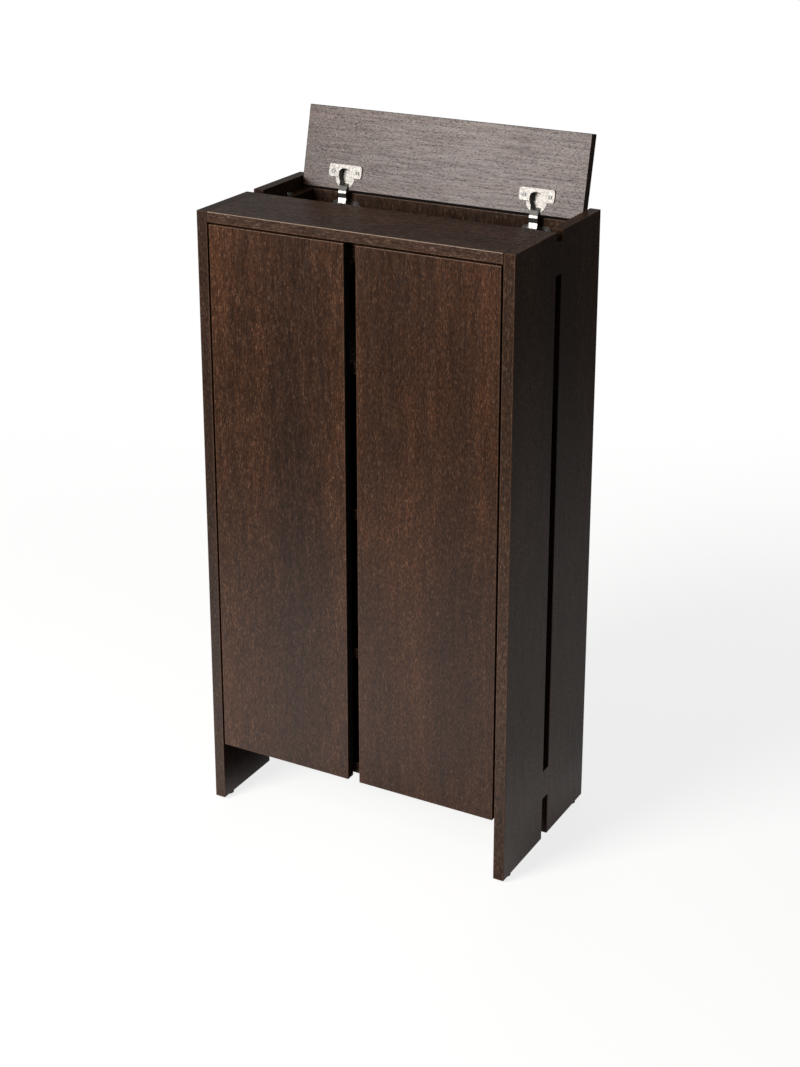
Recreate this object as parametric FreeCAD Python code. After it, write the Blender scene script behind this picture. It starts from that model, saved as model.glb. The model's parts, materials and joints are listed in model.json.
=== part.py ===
import FreeCAD
import Part
import math
import os

# A hallway cabinet of stained oak boards, in millimetres: X across, front towards -Y, Z up from the floor.
# The pieces are drawn with Y = 0 at the front of the side boards. They are moved at the end, so that the
# origin lies on the floor under the middle of the whole cabinet with its lid raised.

# Case boards
CASE_WIDTH = 585.0
CASE_DEPTH = 326.0
SIDE_HEIGHT = 1100.0
SIDE_THICKNESS = 20.0
TOP_THICKNESS = 18.0
BOTTOM_THICKNESS = 20.0
BOTTOM_RISE = 114.0
BACK_THICKNESS = 18.0
EDGE_RADIUS = 1.0

# Slot and notches of the side boards
SLOT_WIDTH = 22.0
SLOT_TOP_MARGIN = 72.0
FOOT_NOTCH_HEIGHT = 79.0

# Glides under the side boards
FOOT_HEIGHT = 5.0
FOOT_RADIUS = 9.0
FOOT_EDGE_RADIUS = 1.5
FOOT_INSET = 28.0
FOOT_STEM_RADIUS = 2.5
FOOT_STEM_LENGTH = 14.0

# Shelves and their supports
SHELF_THICKNESS = 18.0
SHELF_FIRST_RISE = 222.0
SHELF_LAST_DROP = 210.0
SHELF_END_GAP = 1.0
SHELF_BACK_GAP = 1.0
SUPPORT_INSET = 48.0
SUPPORT_PIN_RADIUS = 2.5
SUPPORT_PIN_DEPTH = 10.0
SUPPORT_TONGUE_LENGTH = 9.0
SUPPORT_TONGUE_WIDTH = 8.0
SUPPORT_TONGUE_HEIGHT = 5.0

# Rails under the front top panel and under the lid
RAIL_THICKNESS = 20.0
RAIL_HEIGHT = 37.0
FRONT_RAIL_HEIGHT = 37.0

# Doors
DOOR_THICKNESS = 18.0
DOOR_GAP = 3.4
DOOR_FINGER_GAP = 22.0
DOOR_DROP = 3.0
DOOR_BACK_GAP = 4.0
DOOR_AXIS_FROM_EDGE = 8.0
DOOR_AXIS_FROM_FRONT = 7.0
DOOR_HINGE_INSET = 100.0

# Lid
LID_THICKNESS = 18.0
LID_SIDE_GAP = 1.5
LID_FRONT_GAP = 23.8
LID_SWEEP_GAP = 0.3
LID_AXIS_FROM_EDGE = 9.0
LID_AXIS_FROM_UNDERSIDE = 8.8
LID_AXIS_BEHIND_BACK = 2.3
LID_OPEN_ANGLE = 103.0
LID_HINGE_FROM_END = 86.0

# Buffers that the doors and the lid close on
BUFFER_RADIUS = 4.0
BUFFER_GAP = 0.2
DOOR_BUFFER_FROM_EDGE = 30.0
LID_BUFFER_FROM_BACK = 65.0

# Cup, pin and flange of a concealed hinge
CUP_RADIUS = 17.45
CUP_CENTRE = 13.0
CUP_FLOOR = 0.8
CUP_RIM_RADIUS = 19.0
CUP_RIM_THICKNESS = 0.8
CUP_ENTRY_HALF_WIDTH = 9.7
CUP_WELL_HALF_WIDTH = 12.6
CUP_WELL_START = 4.0
CUP_WELL_END = 28.6
CUP_WELL_CORNER = 9.0
CUP_CHEEK_HEIGHT = 3.5
CUP_GROOVE_WIDTH = 1.2
CUP_GROOVE_DEPTH = 2.0
FLANGE_WIDTH = 65.0
FLANGE_DEPTH = 22.0
FLANGE_THICKNESS = 2.4
FLANGE_CORNER = 4.0
FLANGE_SCREW_SPACING = 48.0
FLANGE_SCREW_OFFSET = 9.5
PIN_RADIUS = 1.25
PIN_LENGTH = 19.2
PIN_HELD_FIT = 0.02
PIN_RUNNING_FIT = 0.05
HINGE_PLAY = 0.35

# Arm and mounting plate of a concealed hinge
KNUCKLE_RADIUS = 2.3
NOSE_WIDTH = 15.0
NOSE_THICKNESS = 2.5
NOSE_RISE = 0.55
NOSE_BEND_RADIUS = 1.5
ARM_HEIGHT = 18.0
ARM_WIDTH = 18.0
ARM_WALL = 1.5
ARM_FLANGE = 10.0
ARM_LENGTH = 50.0
ARM_OVERLAP = 2.0
LID_NOSE_REACH = 10.0
LID_NOSE_FALL = 8.4
LID_SHOULDER_FALL = 3.4
LID_SHOULDER_LEAN = 0.9
LID_NECK_FALL = 8.5
LID_NECK_LEAN = 1.2
LID_FOOT_FALL = 11.0
LID_FOOT_LEAN = 3.0
LID_PLATE_SETBACK = 8.0
DOOR_NOSE_REACH = 16.5
DOOR_NOSE_SLOPE = 4.0
DOOR_ARM_SETBACK = 4.0
DOOR_PLATE_SETBACK = 20.0
PLATE_WIDTH = 56.0
PLATE_HEIGHT = 18.0
PLATE_THICKNESS = 2.5
PLATE_RIDGE_INSET = 4.0
PLATE_RIDGE_PLAY = 0.2
PLATE_SCREW_SPACING = 32.0
ARM_SCREW_SETBACKS = (10.0, 40.0)

# Screws, given as head radius, head height, shank radius and shank length
CUP_SCREW = (3.6, 1.4, 1.75, 12.0)
PLATE_SCREW = (4.2, 1.8, 2.5, 13.0)
ARM_SCREW = (3.8, 1.6, 2.5, 9.0)
RAIL_SCREW = (3.8, 2.4, 2.0, 30.0)
BACK_SCREW = (4.5, 2.8, 2.5, 45.0)
RECESS_WIDTH = 1.2
RECESS_SPREAD = 0.7
RECESS_DEPTH = 1.0
RAIL_SCREW_INSET = 38.0
FRONT_RAIL_SCREW_BITE = 12.0
FRONT_RAIL_SCREW_FROM_SIDE = 92.5
BACK_SCREW_FROM_SIDE = 72.5

# Dowels, cam bolts and cam locks
DOWEL_RADIUS = 4.0
DOWEL_IN_SIDE = 12.0
DOWEL_IN_PANEL = 18.0
DOWEL_INSET = 30.0
BACK_DOWEL_INSET = 90.0
CAM_RADIUS = 7.4
CAM_HEIGHT = 13.0
CAM_FROM_END = 34.0
CAM_INSET = 72.0
CAM_BOLT_RADIUS = 3.0
CAM_BOLT_IN_SIDE = 11.0
CAM_SLOT_WIDTH = 1.5

# Wall fixing holes in the back panel
WALL_HOLE_RADIUS = 3.25
WALL_HOLE_FROM_SIDE = 42.5
WALL_HOLE_FROM_TOP = 100.0

# Clearances round fasteners and at their ends
HOLE_FIT = 0.1
END_GAP = 0.4

# Places worked out from the sizes above
HALF_WIDTH = CASE_WIDTH / 2
INNER_HALF = HALF_WIDTH - SIDE_THICKNESS
SIDE_TOP = FOOT_HEIGHT + SIDE_HEIGHT
LEAF = (CASE_DEPTH - SLOT_WIDTH) / 2
BOTTOM_LOW = FOOT_HEIGHT + BOTTOM_RISE
BOTTOM_TOP = BOTTOM_LOW + BOTTOM_THICKNESS
BOTTOM_MIDDLE = BOTTOM_LOW + BOTTOM_THICKNESS / 2
BACK_FACE = CASE_DEPTH - BACK_THICKNESS
BACK_MIDDLE = CASE_DEPTH - BACK_THICKNESS / 2
FRONT_TOP_LOW = SIDE_TOP - TOP_THICKNESS
FRONT_TOP_MIDDLE = SIDE_TOP - TOP_THICKNESS / 2
LID_LOW = SIDE_TOP - LID_THICKNESS
LID_AXIS_Y = BACK_FACE + LID_AXIS_BEHIND_BACK
LID_AXIS_Z = LID_LOW + LID_AXIS_FROM_UNDERSIDE
LID_REAR = LID_AXIS_Y + LID_AXIS_FROM_EDGE
LID_FRONT = LEAF + LID_FRONT_GAP
BACK_TOP = LID_AXIS_Z - math.hypot(LID_AXIS_FROM_EDGE, LID_AXIS_FROM_UNDERSIDE) - LID_SWEEP_GAP
INNER_FRONT = DOOR_THICKNESS + DOOR_BACK_GAP
FRONT_RAIL_BACK = INNER_FRONT + RAIL_THICKNESS
FRONT_RAIL_LOW = FRONT_TOP_LOW - FRONT_RAIL_HEIGHT
FRONT_RAIL_MIDDLE = FRONT_TOP_LOW - FRONT_RAIL_HEIGHT / 2
RAIL_TOP = min(BACK_TOP, FRONT_TOP_LOW)
RAIL_MIDDLE = RAIL_TOP - RAIL_HEIGHT / 2
DOOR_LOW = BOTTOM_LOW - DOOR_DROP
DOOR_TOP = FRONT_TOP_LOW - DOOR_GAP
DOOR_EDGE = INNER_HALF - DOOR_GAP
DOOR_AXIS_X = DOOR_EDGE - DOOR_AXIS_FROM_EDGE
DOOR_AXIS_FROM_BACK = DOOR_THICKNESS - DOOR_AXIS_FROM_FRONT
DOOR_HINGE_HEIGHTS = {"lower": DOOR_LOW + DOOR_HINGE_INSET, "upper": DOOR_TOP - DOOR_HINGE_INSET}
SHELF_NAMES = ("lower", "middle", "upper")
SHELF_FIRST_TOP = BOTTOM_TOP + SHELF_FIRST_RISE
SHELF_LAST_TOP = FRONT_TOP_LOW - SHELF_LAST_DROP
SHELF_PITCH = (SHELF_LAST_TOP - SHELF_FIRST_TOP) / (len(SHELF_NAMES) - 1)
SHELF_TOPS = {name: SHELF_FIRST_TOP + step * SHELF_PITCH for step, name in enumerate(SHELF_NAMES)}
LID_HINGE_SPACING = 2 * (INNER_HALF - LID_SIDE_GAP - LID_HINGE_FROM_END)
WALL_HOLE_SPACING = 2 * (INNER_HALF - WALL_HOLE_FROM_SIDE)
FRONT_RAIL_SCREW_SPACING = INNER_HALF - FRONT_RAIL_SCREW_FROM_SIDE
BACK_SCREW_SPACING = INNER_HALF - BACK_SCREW_FROM_SIDE
SIDES = {"left": -1, "right": 1}

X = FreeCAD.Vector(1, 0, 0)
Y = FreeCAD.Vector(0, 1, 0)
Z = FreeCAD.Vector(0, 0, 1)


# Basic solids

def block(x, y, z):
    """A box between two limits on each axis."""
    low = FreeCAD.Vector(min(x), min(y), min(z))
    return Part.makeBox(max(x) - min(x), max(y) - min(y), max(z) - min(z), low)


def board(x, y, z):
    """A board with all its edges eased."""
    solid = block(x, y, z)
    return solid.makeFillet(EDGE_RADIUS, solid.Edges)


def rod(start, direction, radius, length):
    """A round bar from a point along a direction."""
    return Part.makeCylinder(radius, length, start, direction)


def outline(corners):
    """A closed face through corner points, each given with the radius that rounds it."""
    edges = []
    ends = []
    for index, (corner, radius) in enumerate(corners):
        if radius == 0:
            ends.append((corner, corner))
            continue
        before = (corners[index - 1][0] - corner).normalize()
        after = (corners[(index + 1) % len(corners)][0] - corner).normalize()
        half_angle = before.getAngle(after) / 2
        inward = (before + after).normalize()
        start = corner + before * (radius / math.tan(half_angle))
        middle = corner + inward * (radius / math.sin(half_angle) - radius)
        end = corner + after * (radius / math.tan(half_angle))
        edges.append(Part.Arc(start, middle, end).toShape())
        ends.append((start, end))
    for index, (_, leave) in enumerate(ends):
        arrive = ends[(index + 1) % len(ends)][0]
        edges.append(Part.makeLine(leave, arrive))
    return Part.Face(Part.Wire(Part.__sortEdges__(edges)))


def screw(head_point, direction, kind):
    """A cross-head screw: its head ends at the point and its shank runs on along the direction."""
    head_radius, head_height, shank_radius, shank_length = kind
    head_top = head_point - direction * head_height
    solid = rod(head_top, direction, head_radius, head_height)
    solid = solid.fuse(rod(head_point, direction, shank_radius, shank_length))
    side = direction.cross(X if abs(direction.dot(X)) < 0.5 else Y).normalize()
    up = direction.cross(side)
    reach = head_radius * RECESS_SPREAD
    half = RECESS_WIDTH / 2
    for long_way, short_way in ((side, up), (up, side)):
        corners = [
            head_top + long_way * reach + short_way * half,
            head_top + long_way * reach - short_way * half,
            head_top - long_way * reach - short_way * half,
            head_top - long_way * reach + short_way * half,
        ]
        solid = solid.cut(outline([(corner, 0) for corner in corners]).extrude(direction * RECESS_DEPTH))
    return solid


def screw_hole(head_point, direction, kind):
    """The hole for a screw's shank."""
    _, _, shank_radius, shank_length = kind
    return rod(head_point, direction, shank_radius + HOLE_FIT, shank_length + END_GAP)


def head_sink(head_point, direction, kind):
    """The recess that lets a screw's head down flush with the face it enters by."""
    head_radius, head_height, _, _ = kind
    return rod(head_point - direction * head_height, direction, head_radius + HOLE_FIT, head_height)


def joint_bar(sign, y, z, radius, in_panel, in_side):
    """A bar across the joint between a panel's end and the inner face of a side board."""
    start = FreeCAD.Vector(sign * (INNER_HALF - in_panel), y, z)
    return rod(start, X * sign, radius, in_panel + in_side)


# Dowels, cam bolts and cam locks

DOWEL_PLACES = {
    "front_top": [(DOWEL_INSET, FRONT_TOP_MIDDLE), (LEAF - DOWEL_INSET, FRONT_TOP_MIDDLE)],
    "bottom_panel": [
        (INNER_FRONT + DOWEL_INSET, BOTTOM_MIDDLE),
        (BACK_FACE - DOWEL_INSET, BOTTOM_MIDDLE),
    ],
    "front_rail": [(INNER_FRONT + RAIL_THICKNESS / 2, FRONT_RAIL_MIDDLE)],
    "back_panel": [
        (BACK_MIDDLE, BOTTOM_TOP + BACK_DOWEL_INSET),
        (BACK_MIDDLE, (BOTTOM_TOP + BACK_TOP) / 2),
        (BACK_MIDDLE, BACK_TOP - BACK_DOWEL_INSET),
    ],
}
CAM_PLACES = {
    "front_top": [(LEAF / 2, FRONT_TOP_LOW, TOP_THICKNESS)],
    "bottom_panel": [
        (INNER_FRONT + CAM_INSET, BOTTOM_LOW, BOTTOM_THICKNESS),
        (BACK_FACE - CAM_INSET, BOTTOM_LOW, BOTTOM_THICKNESS),
    ],
}


def dowel_holes(panel):
    """The dowel holes between one panel and both side boards."""
    return [
        joint_bar(sign, y, z, DOWEL_RADIUS + HOLE_FIT, DOWEL_IN_PANEL + END_GAP, DOWEL_IN_SIDE + END_GAP)
        for sign in SIDES.values()
        for y, z in DOWEL_PLACES[panel]
    ]


def cam_bolt_holes(panel):
    """The cam bolt holes between one panel and both side boards."""
    return [
        joint_bar(sign, y, low + thickness / 2, CAM_BOLT_RADIUS + HOLE_FIT, CAM_FROM_END,
                  CAM_BOLT_IN_SIDE + END_GAP)
        for sign in SIDES.values()
        for y, low, thickness in CAM_PLACES[panel]
    ]


def cam_wells(panel):
    """The round wells for the cam locks in a panel's underside."""
    return [
        rod(FreeCAD.Vector(sign * (INNER_HALF - CAM_FROM_END), y, low), Z, CAM_RADIUS + HOLE_FIT,
            CAM_HEIGHT + END_GAP)
        for sign in SIDES.values()
        for y, low, _ in CAM_PLACES[panel]
    ]


def cam_lock(sign, y, low, thickness):
    """A cam lock: a disc with a hollow for the bolt's end and a screwdriver slot underneath."""
    centre = FreeCAD.Vector(sign * (INNER_HALF - CAM_FROM_END), y, low)
    disc = rod(centre, Z, CAM_RADIUS, CAM_HEIGHT)
    hollow = rod(centre + Z * (thickness / 2), X * sign, CAM_BOLT_RADIUS + HOLE_FIT, CAM_RADIUS)
    half = CAM_SLOT_WIDTH / 2
    slot = block((centre.x - CAM_RADIUS, centre.x + CAM_RADIUS), (y - half, y + half),
                 (low, low + CAM_SLOT_WIDTH))
    return disc.cut(hollow).cut(slot)


def fasteners_between_boards():
    """All dowels, cam bolts and cam locks."""
    dowels = [
        joint_bar(sign, y, z, DOWEL_RADIUS, DOWEL_IN_PANEL, DOWEL_IN_SIDE)
        for places in DOWEL_PLACES.values()
        for y, z in places
        for sign in SIDES.values()
    ]
    bolts = [
        joint_bar(sign, y, low + thickness / 2, CAM_BOLT_RADIUS, CAM_FROM_END - END_GAP, CAM_BOLT_IN_SIDE)
        for places in CAM_PLACES.values()
        for y, low, thickness in places
        for sign in SIDES.values()
    ]
    locks = [
        cam_lock(sign, *place)
        for places in CAM_PLACES.values()
        for place in places
        for sign in SIDES.values()
    ]
    return {
        "case_dowels": Part.makeCompound(dowels),
        "cam_bolts": Part.makeCompound(bolts),
        "cam_locks": Part.makeCompound(locks),
    }


# Screws of the rails and of the back panel

def rail_screw_places(sign):
    """The three screws that hold one lid rail to its side board: head seat and direction."""
    head_x = INNER_HALF - RAIL_THICKNESS + RAIL_SCREW[1]
    middle = (FRONT_RAIL_BACK + BACK_FACE) / 2
    ys = (FRONT_RAIL_BACK + RAIL_SCREW_INSET, middle, BACK_FACE - RAIL_SCREW_INSET)
    return [(FreeCAD.Vector(sign * head_x, y, RAIL_MIDDLE), X * sign) for y in ys]


def front_rail_screw_places():
    """The screws that rise through the front rail into the front top panel."""
    head_z = FRONT_TOP_LOW + FRONT_RAIL_SCREW_BITE - RAIL_SCREW[3]
    y = INNER_FRONT + RAIL_THICKNESS / 2
    return [(FreeCAD.Vector(step * FRONT_RAIL_SCREW_SPACING, y, head_z), Z) for step in (-1, 0, 1)]


def back_screw_places():
    """The screws from behind: into the bottom panel's rear edge and into both lid rails' ends."""
    head_y = CASE_DEPTH - BACK_SCREW[1]
    low = [FreeCAD.Vector(step * BACK_SCREW_SPACING, head_y, BOTTOM_MIDDLE) for step in (-1, 0, 1)]
    rail_x = INNER_HALF - RAIL_THICKNESS / 2
    high = [FreeCAD.Vector(sign * rail_x, head_y, RAIL_MIDDLE) for sign in SIDES.values()]
    return [(point, Y * -1) for point in low + high]


def case_screws():
    """The screws of the rails and of the back panel."""
    rails = [place for sign in SIDES.values() for place in rail_screw_places(sign)]
    rails += front_rail_screw_places()
    return {
        "rail_screws": Part.makeCompound([screw(*place, RAIL_SCREW) for place in rails]),
        "back_screws": Part.makeCompound([screw(*place, BACK_SCREW) for place in back_screw_places()]),
    }


# Case boards

def foot_places(sign):
    """The lower ends of one side board's two glide stems."""
    x = sign * (HALF_WIDTH - SIDE_THICKNESS / 2)
    return {
        "front": FreeCAD.Vector(x, FOOT_INSET, FOOT_HEIGHT),
        "rear": FreeCAD.Vector(x, CASE_DEPTH - FOOT_INSET, FOOT_HEIGHT),
    }


def support_places(sign):
    """The shelf supports on one side board: points on its inner face at the shelves' undersides."""
    front = INNER_FRONT + SUPPORT_INSET
    back = BACK_FACE - SHELF_BACK_GAP - SUPPORT_INSET
    return [
        FreeCAD.Vector(sign * INNER_HALF, y, top - SHELF_THICKNESS)
        for top in SHELF_TOPS.values()
        for y in (front, back)
    ]


def side_board(sign):
    """A side board in two leaves, parted by the slot and the notches in line with it."""
    rear_leaf = LEAF + SLOT_WIDTH
    notch_low = FOOT_HEIGHT + FOOT_NOTCH_HEIGHT
    points = [
        (0, FOOT_HEIGHT), (LEAF, FOOT_HEIGHT), (LEAF, notch_low), (rear_leaf, notch_low),
        (rear_leaf, FOOT_HEIGHT), (CASE_DEPTH, FOOT_HEIGHT), (CASE_DEPTH, SIDE_TOP), (rear_leaf, SIDE_TOP),
        (rear_leaf, FRONT_TOP_LOW), (LEAF, FRONT_TOP_LOW), (LEAF, SIDE_TOP), (0, SIDE_TOP),
    ]
    face = outline([(FreeCAD.Vector(sign * INNER_HALF, y, z), 0) for y, z in points])
    solid = face.extrude(X * (sign * SIDE_THICKNESS))
    slot_x = (sign * (INNER_HALF - END_GAP), sign * (HALF_WIDTH + END_GAP))
    solid = solid.cut(block(slot_x, (LEAF, rear_leaf), (BOTTOM_TOP, SIDE_TOP - SLOT_TOP_MARGIN)))
    flat_edges = [edge for edge in solid.Edges if edge.BoundBox.XLength < EDGE_RADIUS]
    solid = solid.makeFillet(EDGE_RADIUS, flat_edges)
    holes = [hole for panel in DOWEL_PLACES for hole in dowel_holes(panel)]
    holes += [hole for panel in CAM_PLACES for hole in cam_bolt_holes(panel)]
    holes += [screw_hole(*place, RAIL_SCREW) for place in rail_screw_places(sign)]
    holes += [
        rod(stem, Z, FOOT_STEM_RADIUS + HOLE_FIT, FOOT_STEM_LENGTH + END_GAP)
        for stem in foot_places(sign).values()
    ]
    holes += [
        rod(place - Z * SUPPORT_PIN_RADIUS, X * sign, SUPPORT_PIN_RADIUS + HOLE_FIT,
            SUPPORT_PIN_DEPTH + END_GAP)
        for place in support_places(sign)
    ]
    holes += [
        screw_hole(*place, PLATE_SCREW)
        for height in DOOR_HINGE_HEIGHTS.values()
        for place in door_plate_screw_places(sign, height)
    ]
    return solid.cut(holes)


def foot(stem):
    """A glide: a round pad under the side board with a stem pressed into its end."""
    pad = rod(stem - Z * FOOT_HEIGHT, Z, FOOT_RADIUS, FOOT_HEIGHT)
    lower_edge = [edge for edge in pad.Edges if edge.BoundBox.ZMax < FOOT_HEIGHT / 2]
    pad = pad.makeFillet(FOOT_EDGE_RADIUS, lower_edge)
    return pad.fuse(rod(stem, Z, FOOT_STEM_RADIUS, FOOT_STEM_LENGTH))


def front_top():
    """The fixed front half of the top, flush with the sides."""
    solid = board((-INNER_HALF, INNER_HALF), (0, LEAF), (FRONT_TOP_LOW, SIDE_TOP))
    holes = dowel_holes("front_top") + cam_bolt_holes("front_top") + cam_wells("front_top")
    holes += [screw_hole(*place, RAIL_SCREW) for place in front_rail_screw_places()]
    return solid.cut(holes)


def bottom_panel():
    """The bottom panel, behind the doors."""
    solid = board((-INNER_HALF, INNER_HALF), (INNER_FRONT, BACK_FACE), (BOTTOM_LOW, BOTTOM_TOP))
    holes = dowel_holes("bottom_panel") + cam_bolt_holes("bottom_panel") + cam_wells("bottom_panel")
    holes += [screw_hole(*place, BACK_SCREW) for place in back_screw_places()]
    return solid.cut(holes)


def back_panel():
    """The back panel between the sides, with the lid hinges' screw holes and the wall fixing holes."""
    solid = board((-INNER_HALF, INNER_HALF), (BACK_FACE, CASE_DEPTH), (BOTTOM_LOW, BACK_TOP))
    holes = dowel_holes("back_panel")
    for place in back_screw_places():
        holes += [screw_hole(*place, BACK_SCREW), head_sink(*place, BACK_SCREW)]
    for sign in SIDES.values():
        holes += [screw_hole(*place, PLATE_SCREW) for place in lid_plate_screw_places(sign)]
        wall_hole = FreeCAD.Vector(sign * WALL_HOLE_SPACING / 2, BACK_FACE, BACK_TOP - WALL_HOLE_FROM_TOP)
        holes.append(rod(wall_hole, Y, WALL_HOLE_RADIUS, BACK_THICKNESS))
    return solid.cut(holes)


def shelf(top):
    """A loose shelf on four supports."""
    half = INNER_HALF - SHELF_END_GAP
    return board((-half, half), (INNER_FRONT, BACK_FACE - SHELF_BACK_GAP), (top - SHELF_THICKNESS, top))


def shelf_support(sign, place):
    """A shelf support: a pin in the side board and a flat tongue under the shelf."""
    pin = rod(place - Z * SUPPORT_PIN_RADIUS, X * sign, SUPPORT_PIN_RADIUS, SUPPORT_PIN_DEPTH)
    tongue = block(
        (place.x, place.x - sign * SUPPORT_TONGUE_LENGTH),
        (place.y - SUPPORT_TONGUE_WIDTH / 2, place.y + SUPPORT_TONGUE_WIDTH / 2),
        (place.z - SUPPORT_TONGUE_HEIGHT, place.z),
    )
    return tongue.fuse(pin)


def front_rail():
    """The rail under the front top panel, behind the doors."""
    solid = board((-INNER_HALF, INNER_HALF), (INNER_FRONT, FRONT_RAIL_BACK), (FRONT_RAIL_LOW, FRONT_TOP_LOW))
    holes = dowel_holes("front_rail")
    for point, direction in front_rail_screw_places():
        holes.append(screw_hole(point, direction, RAIL_SCREW))
        well_depth = point.z - FRONT_RAIL_LOW
        holes.append(rod(point - Z * well_depth, Z, RAIL_SCREW[0] + HOLE_FIT, well_depth))
    return solid.cut(holes)


def lid_rail(sign):
    """A rail along a side board, which the lid closes on."""
    solid = board(
        (sign * INNER_HALF, sign * (INNER_HALF - RAIL_THICKNESS)),
        (FRONT_RAIL_BACK, BACK_FACE),
        (RAIL_TOP - RAIL_HEIGHT, RAIL_TOP),
    )
    holes = [screw_hole(*place, BACK_SCREW) for place in back_screw_places()]
    for place in rail_screw_places(sign):
        holes += [screw_hole(*place, RAIL_SCREW), head_sink(*place, RAIL_SCREW)]
    return solid.cut(holes)


def door_buffers():
    """Four round buffers on the front rail and the bottom panel, near the doors' meeting edges."""
    x = DOOR_FINGER_GAP / 2 + DOOR_BUFFER_FROM_EDGE
    return Part.makeCompound([
        rod(FreeCAD.Vector(sign * x, INNER_FRONT, z), Y * -1, BUFFER_RADIUS, DOOR_BACK_GAP - BUFFER_GAP)
        for sign in SIDES.values()
        for z in (BOTTOM_MIDDLE, FRONT_RAIL_MIDDLE)
    ])


def lid_buffers():
    """A thin round buffer on each lid rail."""
    x = INNER_HALF - RAIL_THICKNESS / 2
    y = BACK_FACE - LID_BUFFER_FROM_BACK
    return Part.makeCompound([
        rod(FreeCAD.Vector(sign * x, y, RAIL_TOP), Z, BUFFER_RADIUS, LID_LOW - RAIL_TOP - BUFFER_GAP)
        for sign in SIDES.values()
    ])


# Concealed hinges, drawn round the pin: local X runs along the closed panel away from its hinged edge,
# local Y towards the panel's outer face, and local Z along the pin.

def placed(solid, origin, along, outward):
    """A hinge piece moved from the pin's frame to its place."""
    pin = along.cross(outward)
    moved = solid.copy()
    moved.Placement = FreeCAD.Placement(FreeCAD.Matrix(
        along.x, outward.x, pin.x, origin.x,
        along.y, outward.y, pin.y, origin.y,
        along.z, outward.z, pin.z, origin.z,
        0, 0, 0, 1,
    ))
    return moved


def centred_slab(start, end, half_width, low, high, corner):
    """A plate parallel to the panel: rounded rectangle along local X, centred on local Z."""
    points = [(start, -half_width), (end, -half_width), (end, half_width), (start, half_width)]
    face = outline([(FreeCAD.Vector(x, low, z), corner) for x, z in points])
    return face.extrude(Y * (high - low))


def flange_screw_places(depth):
    """The two screws of a cup's flange: head seat and direction."""
    along = CUP_CENTRE + FLANGE_SCREW_OFFSET
    seat = -depth - FLANGE_THICKNESS
    return [
        (FreeCAD.Vector(along, seat, side * FLANGE_SCREW_SPACING / 2), Y)
        for side in (-1, 1)
    ]


def cup_bore(depth):
    """The round bore in a panel that takes a cup, and the pilot holes of its flange's screws."""
    full = depth + KNUCKLE_RADIUS + HINGE_PLAY + CUP_FLOOR + END_GAP
    bore = rod(FreeCAD.Vector(CUP_CENTRE, -depth, 0), Y, CUP_RADIUS + PIN_RUNNING_FIT, full)
    return [bore] + [screw_hole(*place, CUP_SCREW) for place in flange_screw_places(depth)]


def hinge_cup(depth):
    """A cup with its rim, grooved along its flange; depth is from the pin to the panel's inner face."""
    floor = KNUCKLE_RADIUS + HINGE_PLAY
    mouth = -depth - FLANGE_THICKNESS
    bay_half = NOSE_WIDTH / 2 + HINGE_PLAY
    bowl = rod(FreeCAD.Vector(CUP_CENTRE, -depth, 0), Y, CUP_RADIUS, depth + floor + CUP_FLOOR)
    rim_low = FreeCAD.Vector(CUP_CENTRE, -depth - CUP_RIM_THICKNESS, 0)
    rim = rod(rim_low, Y, CUP_RIM_RADIUS, CUP_RIM_THICKNESS)
    flange = centred_slab(CUP_CENTRE, CUP_CENTRE + FLANGE_DEPTH, FLANGE_WIDTH / 2, mouth, -depth,
                          FLANGE_CORNER)
    cup = bowl.fuse([rim, flange])
    entry_start = CUP_CENTRE - CUP_RIM_RADIUS - HINGE_PLAY
    entry = block((entry_start, CUP_CENTRE), (mouth, -CUP_CHEEK_HEIGHT),
                  (-CUP_ENTRY_HALF_WIDTH, CUP_ENTRY_HALF_WIDTH))
    well = centred_slab(CUP_WELL_START, CUP_WELL_END, CUP_WELL_HALF_WIDTH, mouth, floor, CUP_WELL_CORNER)
    bay = block((entry_start, CUP_CENTRE), (mouth, floor), (-bay_half, bay_half))
    groove = block((CUP_CENTRE - CUP_GROOVE_WIDTH, CUP_CENTRE), (mouth, CUP_GROOVE_DEPTH - depth),
                   (-CUP_RIM_RADIUS, CUP_RIM_RADIUS))
    pin_hole = rod(Z * (-PIN_LENGTH / 2 - PIN_HELD_FIT), Z, PIN_RADIUS + PIN_HELD_FIT,
                   PIN_LENGTH + 2 * PIN_HELD_FIT)
    screws = [screw_hole(*place, CUP_SCREW) for place in flange_screw_places(depth)]
    return cup.cut([entry, well, bay, groove, pin_hole] + screws)


def hinge_pin():
    """The pin that the arm's knuckle turns on."""
    return rod(Z * (-PIN_LENGTH / 2), Z, PIN_RADIUS, PIN_LENGTH)


def nose_face(path):
    """A bent strip's side view: a path of points offset by half the thickness both ways, bends rounded."""
    left = []
    right = []
    for index, point in enumerate(path):
        before = (point - path[index - 1]).normalize() if index > 0 else None
        after = (path[index + 1] - point).normalize() if index < len(path) - 1 else None
        first = before or after
        last = after or before
        across = Z.cross(first) + Z.cross(last)
        across = across * (NOSE_THICKNESS / across.dot(across))
        turn = first.cross(last).z
        inner = NOSE_BEND_RADIUS if before and after else 0
        outer = NOSE_BEND_RADIUS + NOSE_THICKNESS if before and after else 0
        left.append((point + across, inner if turn > 0 else outer))
        right.append((point - across, outer if turn > 0 else inner))
    return outline(left + right[::-1])


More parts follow.
